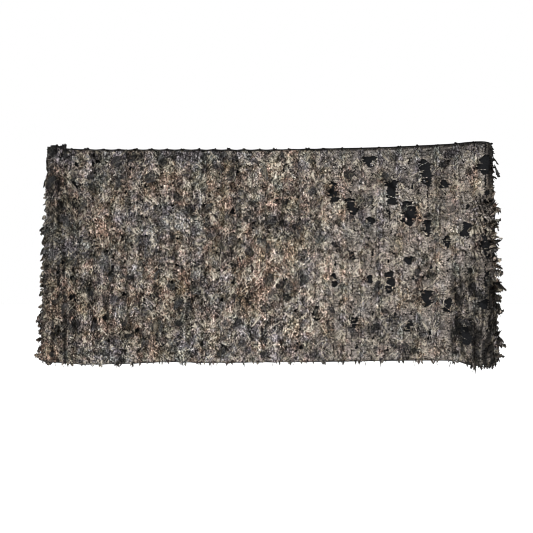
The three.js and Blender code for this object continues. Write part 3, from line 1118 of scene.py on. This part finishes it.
@dataclass
class LeafRow:
    """One upright row: a strip of printed cloth, sewn down its middle, with leaves cut in it and on it."""

    drape: Drape
    openings: Openings
    index: int
    net_front: float = 1.6 * MM
    down_step: float = 5 * MM
    lanes_mm: tuple[int, ...] = (0, 3, 7, 11, 15, 20, 25, 31, 37, 43, 49, 55, 61, 67)
    tooth: float = 0.0085
    teeth: tuple[float, float] = (0.0045, -0.0035)
    hem_tooth: float = 0.004
    cuts_per_side: int = 12
    scraps: int = 150
    margin: float = 0.0095
    depth: tuple[float, float] = (-0.088, 0.128)
    rounding: float = 0.02

    def __post_init__(self) -> None:
        """Names the row and seeds its own chance and noise."""
        self.name = f"leaf_row_{self.index + 1:02d}"
        self.seam = self.index + 0.5
        self.chance = np.random.default_rng(1000 + self.index)
        self.noise = SoftNoise(2000 + self.index).at
        self.broad = SoftNoise(5).at
        self.taut = self.drape.tautness(self.seam)
        self.half = self.drape.pitch / 2
        self.height = self.drape.cut_height
        self.shift = np.array([0.41 * self.index, 1.73 * (self.index % 5)])
        self.placed = 0
        self.hole_centres, self.holes = self.openings.on_row(self.index)

    def place(self, a: Array, b: Array, c: Array, stiff: float) -> Array:
        """Puts points of the row on the hung cover.

        Args:
            a: distances across the row from its seam.
            b: distances below the top edge.
            c: distances off the net.
            stiff: from 0 for cloth that follows the net to 1 for cloth that stands straight off the seam.

        Returns:
            Points in the frame.
        """
        drape = self.drape
        row = np.clip(self.seam + a / drape.pitch, 0, drape.rows)
        over = a - (row - self.seam) * drape.pitch
        down = b / drape.cut_height
        near, near_along, near_out = drape.frame(row, down)
        seam, seam_along, seam_out = drape.frame(self.seam, down)
        follows = near + near_along * over[..., None] + near_out * c[..., None]
        stands = seam + seam_along * a[..., None] + seam_out * c[..., None]
        point = follows + (stands - follows) * stiff
        off = np.sum((point - near) * near_out, axis=-1)
        point = point + near_out * np.maximum(self.net_front - off, 0)[..., None]
        room = self.rounding
        front, back = self.depth[0] + room, self.depth[1] - room
        y = point[..., 1]
        y = np.where(y > back, back + room * np.tanh((y - back) / room), y)
        point[..., 1] = np.where(y < front, front + room * np.tanh((y - front) / room), y)
        return point

    def painted_shade(self, a: Array, b: Array) -> Array:
        """Painted shade, from 0 to 1, in the creases and folds of both ends and along the hem; the cloth is
        also darker along the top edge.
        """
        row, down = self.seam + a / self.drape.pitch, b / self.height
        creases = np.zeros_like(row + down)
        for at, slope, wide, strength in PAINTED_CREASE_SHADES:
            broken = smoothstep(self.broad(b / 0.055, at * 9.3), -0.5, 0.0)
            crease = strength * broken * bell(row - at - slope * down, wide)
            creases = np.maximum(creases, crease * smoothstep(b, 0.08, 0.16))
        # Painted shade where the left end turns back and at both top corners
        turned = 0.56 * (1 - smoothstep(row, 1.2, 1.8)) + 0.12 * (1 - smoothstep(row, 2.5, 5.0))
        left_corner = (1 - smoothstep(row, 1.45, 1.65)) * (1 - smoothstep(b, 0.06, 0.12))
        right_corner = smoothstep(row, 27.0, 27.2) * (1 - smoothstep(b, 0.24, 0.42))
        # Painted shade in the fan of pleats below the right-hand corner and in the folds of the lower
        # right-hand corner
        fan = smoothstep(row, 26.25, 26.6) * smoothstep(b, 0.30, 0.38) * (1 - 0.5 * smoothstep(b, 0.70, 0.85))
        fan = fan * (1 - 0.9 * smoothstep(self.drape.pleats(row, down), 0.25, 0.8))
        ragged = 0.4 * self.broad(b / 0.09, row / 0.9 + 41)
        low = smoothstep(row - 25.35 + ragged, -0.1, 0.35) * smoothstep(b, 0.78, 0.92)
        folded = smoothstep(self.broad(row / 0.19 + 1.4 * b, b / 0.11 + 7), -0.25, 0.1)
        ridge = bell(self.broad(row / 0.55 - 2.2 * b, b / 0.26 + 47), 0.10)
        right = np.maximum(0.85 * fan, low * (0.58 + 0.42 * folded) * (1 - 0.65 * ridge))
        # Darker along the top edge
        top = (1 - smoothstep(b, 0.05, 0.11)) * (0.32 + 0.16 * self.taut)
        top = top + (1 - smoothstep(b, 0.014, 0.024)) * 0.35
        # Painted shade along the hem
        hem = 0.42 * smoothstep(b, self.height - 0.020, self.height - 0.008)
        hem = hem + 0.24 * self.taut * smoothstep(b, 1.24, 1.31)
        every = np.broadcast_arrays(creases, turned, left_corner, right_corner, right, top, hem)
        return np.max(np.stack(every), axis=0)

    def reach(self, b: Array, side: int) -> Array:
        """How far the strip's leafy edge lies from the seam, on the side given as -1 or 1."""
        wave, broad = self.noise(b / 0.04, 7.3 + side), self.noise(b / 0.15, 3.1 + side)
        return self.half * (1.04 - 0.03 * self.taut + 0.12 * wave + 0.09 * broad)

    def shade(self, a: Array, b: Array, dim: Array | float = 0.94) -> Array:
        """How much lighter or darker the cloth is there, as a share of its printed colour: random patches of
        tone, a painted pool of light over the middle rows, painted shade in the creases, pleats and beside
        the seams, and painted highlights on the ruffles' crests.

        Args:
            a: distances across the row from its seam.
            b: distances below the top edge.
            dim: how much of the painted shade in the creases is laid on.

        Returns:
            Shares to add to the colour's lightness.
        """
        row = self.seam + a / self.drape.pitch
        across, side = row * self.drape.pitch, np.sign(a)
        # A painted pool of light, brightest over the middle rows, on an overall lift that is smaller where
        # the cloth is stretched
        painted_light_pool = 0.28 + 0.34 * bell(row - 15.5, 4) - 0.13 * self.taut
        patches = 0.34 * self.broad(across / 0.24, b / 0.20)
        patches = patches + 0.24 * self.broad(across / 0.08 + 90, b / 0.075)
        patches = painted_light_pool + np.minimum(patches, 0.16)
        # Painted shade in the troughs of the pleats below the right-hand corner
        creases = smoothstep(-self.drape.pleats(row, b / self.height), 0.1, 0.7)
        # Painted shadow in broken dark lines beside each ruffle along the seam
        beside = np.abs(a) - 0.027 - 0.011 * self.noise(b / 0.06, side * 4 + 30)
        painted_slit_shadows = smoothstep(self.noise(b / 0.055 + 70, side * 4), -0.45, 0.25) * bell(beside, 0.0042)
        # Painted highlight in broken light lines along each ruffle's crest
        wander = 0.013 + 0.007 * self.noise(b / 0.028 + 5, side * 9)
        painted_crest_highlight = smoothstep(self.noise(b / 0.045 + 20, side * 6), -0.3, 0.3) * bell(np.abs(a) - wander, 0.0035)
        columns = (1 - (0.55 + 0.25 * self.taut) * painted_slit_shadows) * (1 + (0.15 + 0.1 * self.taut) * painted_crest_highlight)
        columns = columns * (1 - 0.35 * bell(a, 0.003)) * (1 + 0.10 * self.taut * (2 * bell(a, 0.03) - 1))
        return (1 + patches) * (1 - dim * self.painted_shade(a, b)) * (1 - 0.85 * creases) * columns - 1

    def warmth(self, a: Array, b: Array) -> Array:
        """How much browner the cloth is there, in broad patches over the whole cover."""
        row = self.seam + a / self.drape.pitch
        across = row * self.drape.pitch
        broad = 0.10 * self.broad(across / 0.30 + 20, b / 0.24)
        broad = broad + 0.05 * self.broad(across / 0.12 + 60, b / 0.15)
        cooler = 0.09 * (1 - smoothstep(b, 0.05, 0.13))
        tanned = 0.06 * bell(row - 14.5, 4) - 0.026 * (1 - smoothstep(row, 8, 12))
        return broad + 0.023 + tanned - cooler - 0.03 * self.taut * bell(a, 0.03)

    def relief(self, a: Array, b: Array) -> Array:
        """How far the strip stands off the net: gathered at the seam, puffed or stretched beside it.

        Args:
            a: distances across the row from its seam.
            b: distances below the top edge.

        Returns:
            Distances off the net.
        """
        noise, slack, side = self.noise, 1 - self.taut, np.sign(a)
        gathers = noise(b / 0.0095 + 3 * side, a / 0.045)
        height = 0.0045 + bell(np.abs(a) - 0.013, 0.009) * (0.005 + 0.005 * self.taut + 0.007 * gathers)
        puffed = smoothstep(np.abs(a), 0.026, 0.040)
        height = height + slack * puffed * (0.008 * (noise(a / 0.035, b / 0.04 + 50) + 0.8))
        height = height + (0.0014 + 0.0026 * slack) * noise(a / 0.013 + 20, b / 0.011 + 90)
        slant = b + 0.35 * np.abs(a) * noise(b / 0.12 + 33, side * 3)
        height = height + self.taut * 0.0034 * noise(a / 0.055 + 40, slant / 0.0085 + 11)
        side_reach = np.where(a > 0, self.reach(b, 1), self.reach(b, -1))
        edge = np.clip((np.abs(a) / side_reach - 0.62) / 0.38, 0, 1.2)
        height = height + edge**2 * (0.007 + 0.008 * noise(b / 0.025, side * 5 + 60))
        return np.maximum(height * (1 - 0.75 * bell(a, 0.006)), 0.0018)

    def cut_leaves(self) -> Iterator[LeafBatch]:
        """Plans the leaves that are cut in the strip and left hanging by their bases, kind by kind."""
        chance = self.chance
        for side in (-1, 1):
            spots = np.arange(self.cuts_per_side) + chance.uniform(0.2, 0.8, self.cuts_per_side)
            spots = 0.045 + spots / self.cuts_per_side * (self.height - 0.125)
            holes = self.hole_centres[side * self.hole_centres[:, 0] > 0, 1]
            clear = np.abs(spots[:, None] + 0.015 - holes[None, :]).min(axis=1, initial=1.0) > 0.06
            base_b = spots[clear]
            spread = partial(chance.uniform, size=len(base_b))
            ajar = chance.random(len(base_b)) < 0.65
            aim = outward(side, spread(0, 65))
            open_lift = spread(0.45, 1.4) * (1 - 0.4 * self.taut)
            lift = np.where(ajar, open_lift, spread(0.05, 0.25))
            length = spread(0.045, 0.072)
            width = length * spread(0.6, 0.84)
            for first, kind in enumerate((LeafKind.OAK, LeafKind.ELM)):
                some = slice(first, None, 2)
                spread = partial(chance.uniform, size=len(base_b[some]))
                yield LeafBatch(
                    kind=kind, base_a=side * spread(0.005, 0.014), base_b=base_b[some], length=length[some],
                    width=width[some], turn=aim[some], lift=lift[some], curl=spread(-0.5, 0.9),
                    cup=spread(-0.35, 0.45), droop=np.where(ajar[some], 0.25, 0.03),
                    start=spread(0.006, 0.010), tone=spread(-0.4, 0.3),
                )

    def flaps(self) -> LeafBatch:
        """Plans the cloth that has fallen out of the holes, folded over the seam or hanging at their rims."""
        kept = self.hole_centres[self.chance.random(len(self.hole_centres)) < 0.75]
        side, spread = np.sign(kept[:, 0]), partial(self.chance.uniform, size=len(kept))
        aim = outward(side, spread(-35, 60))
        length = spread(0.034, 0.058)
        return LeafBatch(
            kind=LeafKind.OAK, base_a=side * spread(0.010, 0.024), base_b=kept[:, 1] + spread(-0.02, 0.025),
            length=length, width=length * spread(0.7, 1.0), turn=aim,
            lift=np.where(self.chance.random(len(kept)) < 0.7, spread(2.1, 2.8), 0.7), curl=spread(-0.5, 0.8),
            cup=spread(-0.4, 0.4), droop=0.4, start=spread(0.006, 0.010), tone=spread(-0.3, 0.3),
        )

    def strays(self) -> LeafBatch:
        """Plans the frayed threads that cross some of the holes."""
        kept = self.hole_centres[self.chance.random(len(self.hole_centres)) < 0.3]
        side, spread = np.sign(kept[:, 0]), partial(self.chance.uniform, size=len(kept))
        aim = outward(side, spread(-30, 30))
        return LeafBatch(
            kind=LeafKind.THREAD, base_a=side * spread(0.005, 0.015), base_b=kept[:, 1] + spread(-0.02, 0.02),
            length=spread(0.07, 0.10), width=0.0035, turn=aim, lift=spread(0.05, 0.25),
            curl=spread(-0.3, 0.1), cup=0.0, droop=spread(0.0, 0.3), start=spread(0.006, 0.010),
            tone=spread(0.2, 0.8),
        )

    def loose(self) -> Iterator[LeafBatch]:
        """Plans the smaller leaves that stand on the strip, most of them along its seam and its edges."""
        chance = self.chance
        for kind, full, low, high, dark in (
            (LeafKind.ELM, 12, 0.060, 0.094, 0.68),
            (LeafKind.OAK, 34, 0.030, 0.048, 0.0),
            (LeafKind.SCRAP, self.scraps, 0.014, 0.032, 0.0),
        ):
            count = round(full * (1 - 0.55 * self.taut))
            spread = partial(chance.uniform, size=count)
            side = chance.choice([-1.0, 1.0], count)
            near_seam = chance.random(count) < 0.42 + 0.38 * self.taut
            base_a = np.where(near_seam, spread(0.0, 0.018), spread(0.02, 0.058))
            aim = outward(side, np.where(near_seam, spread(-40, 90), spread(-30, 120)))
            length = spread(low, high)
            yield LeafBatch(
                kind=kind, base_a=side * base_a, base_b=spread(0.012, self.height - 0.03), length=length,
                width=length * spread(0.4, 0.75) * (1 + 0.3 * dark), turn=aim,
                lift=spread(0.15, 0.95) * (1 - 0.7 * dark) + 0.25 * dark, curl=spread(-0.8, 1.0),
                cup=spread(-0.5, 0.6), droop=spread(0.0, 0.25), start=spread(0.006, 0.012) + 0.014 * dark,
                tone=(1 - dark) * spread(0.4, 1.5) - 1, dim=0.9 if self.seam < 4 else 0.75,
            )

    def standing(self) -> Iterator[LeafBatch]:
        """Plans the leaves that stick out sideways where the cover turns back, if it does on this row."""
        chance = self.chance
        for turn_row in self.drape.turns:
            if abs(turn_row - self.seam) > 0.62:
                continue
            fuller = 1.3 if turn_row > self.drape.rows / 2 else 1.0
            for kind, usual, low, high in ((LeafKind.OAK, 26, 0.030, 0.056), (LeafKind.ELM, 18, 0.034, 0.06)):
                count = round(usual * fuller)
                spread = partial(chance.uniform, size=count)
                base_b = spread(0.03, self.height - 0.02)
                length = spread(low, high) * fuller * (1 + 0.45 * smoothstep(base_b, 0.95, 1.2))
                length = length * (0.45 + 0.55 * smoothstep(base_b, 0.12, 0.42))
                facing = chance.choice([0.0, 180.0], count)
                yield LeafBatch(
                    kind=kind, base_a=(turn_row - self.seam) * self.drape.pitch + spread(-0.012, 0.012),
                    base_b=base_b, length=length, width=length * spread(0.45, 0.85),
                    turn=np.radians(facing + spread(-35, 35)), lift=spread(1.15, 1.75),
                    curl=spread(-0.7, 0.7), cup=spread(-0.5, 0.5), droop=spread(0.0, 0.3),
                    start=spread(0.003, 0.006), tone=spread(-0.2, 0.5) - 0.2 * (base_b > 0.9),
                    dim=np.where((base_b > 0.85) | (base_b < 0.3), 0.9, 0.3),
                )

    def hem_leaves(self) -> Iterator[LeafBatch]:
        """Plans the scraps and threads that hang below the bottom edge."""
        heavy = float(self.painted_shade(np.array(0.0), np.array(self.height - 0.03)))
        for kind, count, low, high, wide in (
            (LeafKind.OAK, 5 + round(10 * heavy), 0.012, 0.032, 0.6),
            (LeafKind.THREAD, 2, 0.020, 0.052, 0.07),
        ):
            spread = partial(self.chance.uniform, size=count)
            length = spread(low, high) * (1 + 0.4 * heavy)
            yield LeafBatch(
                kind=kind, base_a=spread(-1, 1) * spread(0, 0.95) * self.half,
                base_b=self.height - spread(0.006, 0.020), length=length,
                width=length * spread(0.7, 1.1) * wide, turn=np.radians(spread(60, 120)),
                lift=spread(0.0, 0.3), curl=spread(-0.6, 0.5), cup=spread(-0.4, 0.4), droop=0.0,
                start=spread(0.004, 0.009), tone=spread(-0.6, -0.1),
            )

    def knot(self) -> LeafBatch:
        """Plans the crumpled end of the row that stands above the top edge."""
        spread = partial(self.chance.uniform, size=1 if self.seam < 2 else 5)
        return LeafBatch(
            kind=LeafKind.SCRAP, base_a=spread(-0.010, 0.010), base_b=spread(0.005, 0.011),
            length=spread(0.008, 0.018) * (1 - 0.25 * self.taut), width=spread(0.014, 0.022),
            turn=np.radians(spread(-120, -60)), lift=spread(0.0, 0.6), curl=spread(0.2, 1.2),
            cup=spread(-0.5, 0.5), droop=0.0, start=spread(0.002, 0.006), tone=spread(-0.85, -0.6),
        )

    def chart(self, a: Array, b: Array) -> Array:
        """Where points of the uncut cloth lie on the flat chart that a bake uses."""
        across, down = a / (2.6 * self.half) + 0.5, b / (self.height + 0.05)
        return np.stack([0.02 + 0.6 * across, 0.02 + 0.94 * down], axis=-1)

    def add_strip(self, pile: MeshPile, holes: list[Array]) -> None:
        """Adds the strip of cloth, with its leafy edges and the holes of its cut leaves.

        Args:
            pile: what to add it to.
            holes: the outlines of the cut leaves.
        """
        top, bottom = self.margin, self.height - self.margin
        edge_b = np.arange(top, bottom, self.tooth)
        teeth = np.where(np.arange(len(edge_b)) % 2 == 0, *self.teeth)
        teeth = teeth * self.chance.uniform(0.4, 1.6, len(edge_b))
        right = np.stack([self.reach(edge_b, 1) + teeth, edge_b], axis=1)
        left = np.stack([-self.reach(edge_b, -1) - np.roll(teeth, 1), edge_b], axis=1)
        hem_a = np.linspace(right[-1, 0], left[-1, 0], 15)[1:-1]
        hem_b = bottom + np.where(np.arange(len(hem_a)) % 2 == 0, self.hem_tooth, -self.hem_tooth)
        outline = np.concatenate([right, np.stack([hem_a, hem_b], axis=1), left[::-1]])
        levels = np.arange(top + 0.003, bottom - 0.003, self.down_step)
        lanes = np.array(self.lanes_mm) * MM
        lanes = np.concatenate([-lanes[:0:-1], lanes])
        grid = np.stack(np.meshgrid(lanes, levels), axis=-1)
        grid[..., 1] += (np.arange(len(lanes)) % 2 * self.down_step / 2)[None, :]
        grid = grid.reshape(-1, 2)
        grid = grid[self.within(grid, right, left, 0.002)]
        edges = []
        start = len(grid)
        for loop in [outline, *holes]:
            number = np.arange(len(loop))
            edges.append(np.stack([number, np.roll(number, -1)], axis=1) + start)
            start += len(loop)
        points = [Vector(p) for p in np.concatenate([grid, outline, *holes])]
        flat, _, faces, _, _, _ = delaunay_2d_cdt(points, np.concatenate(edges).tolist(), [], 0, 1e-6)
        flat, faces = np.array([[p.x, p.y] for p in flat]), np.array(faces)
        middle = flat[faces].mean(axis=1)
        kept = self.within(middle, right, left, 0.0)
        for hole in holes:
            kept &= ~inside(middle, hole)
        used, faces = np.unique(faces[kept], return_inverse=True)
        flat, faces = flat[used], faces.reshape(-1, 3)
        a, b = flat[:, 0], flat[:, 1]
        point = self.place(a, b, self.relief(a, b), 0.25)
        tone = (1 + 0.22 * self.noise(a / 0.009, b / 0.009)) * (1 + self.shade(a, b)) - 1
        pull = self.taut * smoothstep(np.abs(a), 0.014, 0.026)
        pull = pull * (0.75 + 0.25 * self.noise(a / 0.05, b / 0.05))
        shades = (tone, bell(a, 0.028), pull, self.warmth(a, b))
        pile.add(point, faces[:, ::-1], flat + self.shift, self.chart(a, b), *shades)

    def within(self, points: Array, right: Array, left: Array, inset: float) -> Array:
        """Tells which points lie inside the strip's two leafy edges, by at least the inset."""
        a, b = points[:, 0], points[:, 1]
        fits_right = a < np.interp(b, right[:, 1], right[:, 0]) - inset
        fits_left = a > np.interp(b, left[:, 1], left[:, 0]) + inset
        return fits_right & fits_left

    def add_leaves(self, pile: MeshPile, batch: LeafBatch, stiff: float, spare: bool) -> None:
        """Adds a batch of leaves.

        Args:
            pile: what to add them to.
            batch: the leaves.
            stiff: how straight they stand off the seam.
            spare: whether they need their own place on the chart, because the strip is whole below them.
        """
        a, b, c = batch.bent()
        flat_a, flat_b, p, q = batch.flat()
        count, rows, columns = a.shape
        if not count:
            return
        points = self.place(a, b, c, stiff).reshape(-1, 3)
        number = np.arange(count)[:, None, None]
        faces = (grid_faces(rows, columns)[None] + number * rows * columns).reshape(-1, 4)
        prints = np.stack([flat_a, flat_b], axis=-1).reshape(-1, 2) + self.shift
        charts = self.chart(flat_a, flat_b)
        share = p / batch.length
        if spare:
            number = number + self.placed
            chart_a = 0.64 + 0.058 * (number % 6) + 0.052 * (0.5 + q / batch.width)
            charts = np.stack([chart_a, 0.01 + 0.0205 * (number // 6) + 0.018 * share / 1.1], axis=-1)
            self.placed += count
        # Painted shade darkens each leaf towards its base, and a painted highlight lightens its edges
        root = 1 - np.clip(share, 0, 1)
        painted_base_shade_edge_highlight = (1 - 0.5 * root**2) * (0.92 + 0.3 * np.abs(batch.across) ** 4)
        tone = (1 + batch.tone) * (1 + self.shade(flat_a, flat_b, batch.dim)) * painted_base_shade_edge_highlight - 1
        seam = 0.85 * bell(flat_a, 0.03)
        pull = 0.0 if spare else 0.6 * self.taut
        warmth = self.warmth(flat_a, flat_b) + 0.4 * np.minimum(batch.tone + 0.5, 0)
        shades = (tone.ravel(), seam.ravel(), pull, warmth.ravel())
        pile.add(points, faces, prints, charts.reshape(-1, 2), *shades)

    def build(self, material: Material) -> Object:
        """Makes the row.

        Args:
            material: the printed cloth's finish.

        Returns:
            The row.
        """
        pile = MeshPile()
        cut = list(self.cut_leaves())
        self.add_strip(pile, self.holes + [outline for batch in cut for outline in batch.outlines()])
        for batch in cut:
            self.add_leaves(pile, batch, 0.45, spare=False)
        face = [self.flaps(), self.strays(), *self.loose()]
        for batch in [*face, *self.standing(), *self.hem_leaves(), self.knot()]:
            self.add_leaves(pile, batch, 0.5, spare=True)
        piece = pile.build(f"{self.name}_cloth", material)
        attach(piece, "root")
        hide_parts(self.name)
        return piece


@dataclass
class Studio:
    """A plain pale floor, soft light and a camera square to the cover."""

    low: Vector
    below: float = 2.2
    frame_pixels: int = 533
    metre_per_pixel: float = 6.66 * MM
    origin_pixel: tuple[float, float] = (271.0, 149.3)
    distance: float = 9.0
    sensor: float = 36.0
    surround: float = 0.34
    key: float = 4.0
    key_spread: float = 9.0
    key_towards: tuple[float, float, float] = (0.35, 0.72, -0.80)

    def floor(self) -> Object:
        """Makes the floor, well below the hanging cover."""
        bpy.ops.mesh.primitive_plane_add(size=400, location=(0, 0, self.low.z - self.below))
        floor = bpy.context.object
        floor.name = "studio_floor"
        # Pale matt studio floor: it gives the eye nothing to look at, only a soft light from below.
        material, tree = new_material("pale_studio_floor")
        grain = add_node(tree, "TexNoise", {"Scale": 30.0, "Detail": 2.0})
        tint = add_node(tree, "ValToRGB", {"Fac": grain}, stops=[(0.3, "#fcfcfb"), (0.7, "#fefefe")])
        set_inputs(tree.nodes[SHADER], {"Base Color": tint, "Roughness": 1.0, "Specular IOR Level": 0.0})
        floor.data.materials.append(material)
        floor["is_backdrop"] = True
        return floor

    def lights(self) -> None:
        """Sets a white surround, seen white but lighting softly, and one broad lamp from above the front."""
        world = bpy.data.worlds.new("white_studio")
        bpy.context.scene.world = world
        world.use_nodes = True
        tree = world.node_tree
        seen = add_node(tree, "LightPath").outputs["Is Camera Ray"]
        strength = add_node(tree, "MapRange", {"Value": seen, "To Min": self.surround, "To Max": 1.0})
        set_inputs(tree.nodes["Background"], {"Color": (1.0, 1.0, 1.0, 1.0), "Strength": strength})
        data = bpy.data.lights.new("key_lamp", "SUN")
        data.energy = self.key
        data.angle = math.radians(self.key_spread)
        lamp = bpy.data.objects.new("key_lamp", data)
        lamp.rotation_euler = Vector(self.key_towards).to_track_quat("-Z", "Y").to_euler()
        bpy.context.collection.objects.link(lamp)

    def camera(self) -> None:
        """Sets the camera level and square to the cover, at the photograph's framing."""
        centre = self.frame_pixels / 2
        data = bpy.data.cameras.new("camera")
        data.sensor_width = self.sensor
        data.lens = self.sensor * self.distance / (self.frame_pixels * self.metre_per_pixel)
        data.clip_end = 100
        camera = bpy.data.objects.new("camera", data)
        across = (centre - self.origin_pixel[0]) * self.metre_per_pixel
        up = (self.origin_pixel[1] - centre) * self.metre_per_pixel
        camera.location = (across, -self.distance, up)
        camera.rotation_euler = (math.pi / 2, 0, 0)
        bpy.context.collection.objects.link(camera)
        bpy.context.scene.camera = camera


def main() -> None:
    """Builds the cover's pieces in order and reports each one."""
    logging.basicConfig(level=logging.INFO, format="%(name)s: %(message)s")
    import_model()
    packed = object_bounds()
    scene = bpy.context.scene
    scene.view_settings.view_transform = "Standard"
    scene.cycles.filter_width = PIXEL_FILTER
    drape = Drape()
    studio = Studio(packed[0])
    studio.camera()
    studio.floor()
    studio.lights()
    net = Net(drape)
    pieces = [net.build(KnittedNetFinish().material(drape.pitch))]
    share = net.tape_height / drape.cut_height
    tape = WovenTapeFinish().material()
    for edge, upper, lower in (("top_binding", 0.0, share), ("bottom_binding", 1 - share, 1.0)):
        pieces.append(Binding(drape, edge, upper, lower).build(tape))
    leaf_cloth = PrintedLeafFinish().material()
    openings = Openings(drape)
    for index in range(drape.rows):
        pieces.append(LeafRow(drape, openings, index).build(leaf_cloth))
    for piece in pieces:
        LOG.info("%s: %d faces", piece.name, len(piece.data.polygons))
    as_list(pieces[1:])


if __name__ == "__main__":
    main()
